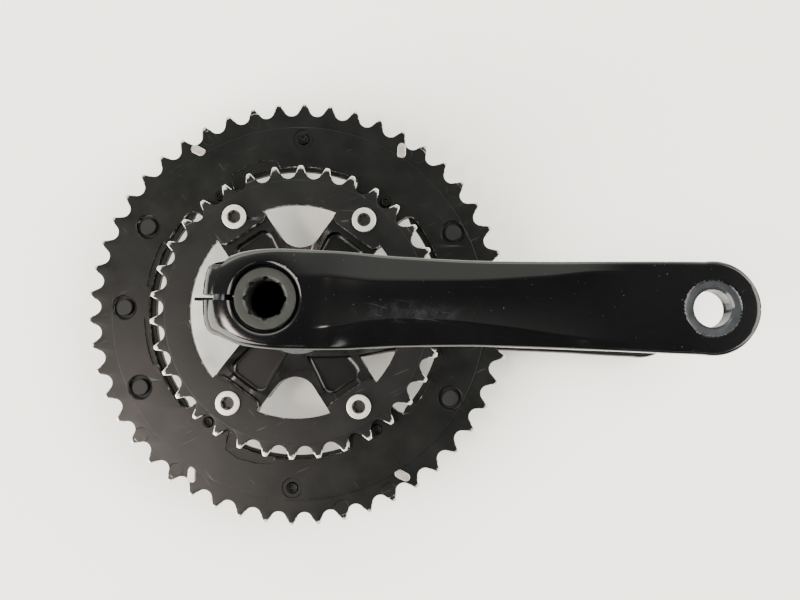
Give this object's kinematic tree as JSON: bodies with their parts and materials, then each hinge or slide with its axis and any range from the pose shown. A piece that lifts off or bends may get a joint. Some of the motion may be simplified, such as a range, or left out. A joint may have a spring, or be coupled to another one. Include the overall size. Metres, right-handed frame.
{
  "type": "bicycle crankset",
  "caption": "Road bicycle crankset: hollow spindle, spidered drive arm carrying a large and a small toothed chainring, and a clamped left arm with a screw-in preload cap.",
  "frame": {"origin": "centre of the flat outer face of the drive-side end cap, on the spindle's axis", "axes": "+Z along the spindle towards the left crank arm, +X along both crank arms towards the pedal eyes, +Y square to both; the crankset lies on its drive side"},
  "size_m": [0.2909, 0.2066, 0.148],
  "materials": {
    "gloss_black_enamel": "gloss black enamel over forged aluminium, with fine scratches",
    "outer_ring_alloy": "satin black anodised, worn bright at the tooth edges",
    "inner_ring_alloy": "satin black anodised, worn bright at the tooth flanks",
    "black_resin": "moulded black resin",
    "spindle_steel": "ground steel",
    "bright_steel": "plated steel",
    "pin_steel": "plain steel",
    "dark_steel": "black oxide",
    "cap_alloy": "satin grey"
  },
  "bodies": {
    "drive_side": {"drive_arm": "gloss_black_enamel", "spindle": "spindle_steel", "drive_end_cap": "black_resin", "outer_chainring": "outer_ring_alloy", "ring_cover": "black_resin", "inner_chainring": "inner_ring_alloy", "chainring_bolt_1": "bright_steel", "chainring_bolt_2": "bright_steel", "chainring_bolt_3": "bright_steel", "chainring_bolt_4": "bright_steel", "chainring_insert_1": "bright_steel", "chainring_insert_2": "bright_steel", "chainring_insert_3": "bright_steel", "chainring_insert_4": "bright_steel", "shift_pin_1": "pin_steel", "shift_pin_2": "pin_steel", "shift_pin_3": "pin_steel", "shift_pin_4": "pin_steel", "ramp_rivet_1": "dark_steel", "ramp_rivet_2": "dark_steel", "ramp_rivet_3": "dark_steel", "ramp_rivet_4": "dark_steel", "cover_rivet_1": "dark_steel", "cover_rivet_2": "dark_steel", "chain_drop_pin": "dark_steel"},
    "left_crank": {"left_arm": "gloss_black_enamel", "pinch_bolt_inner": "dark_steel", "pinch_bolt_outer": "dark_steel"},
    "cap": {"preload_cap": "cap_alloy"},
    "stopper": {"stopper_plate": "dark_steel"}
  },
  "joints": [
    {"name": "left_arm_slide", "type": "slide", "parent": "drive_side", "child": "left_crank", "axis": [0, 0, 1], "range_m": [0, 0.009]},
    {"name": "preload_cap_turn", "type": "hinge", "parent": "left_crank", "child": "cap", "pos_m": [0, 0, 0.1275], "axis": [0, 0, 1], "range_deg": [0, 2160]},
    {"name": "stopper_lift", "type": "hinge", "parent": "left_crank", "child": "stopper", "pos_m": [-0.018, 0, 0.1129], "axis": [0, 1, 0], "range_deg": [-6, 14]}
  ],
  "couplings": [
    {"joint": "preload_cap_turn", "follows": "left_arm_slide", "rad_per_m": 4188}
  ]
}
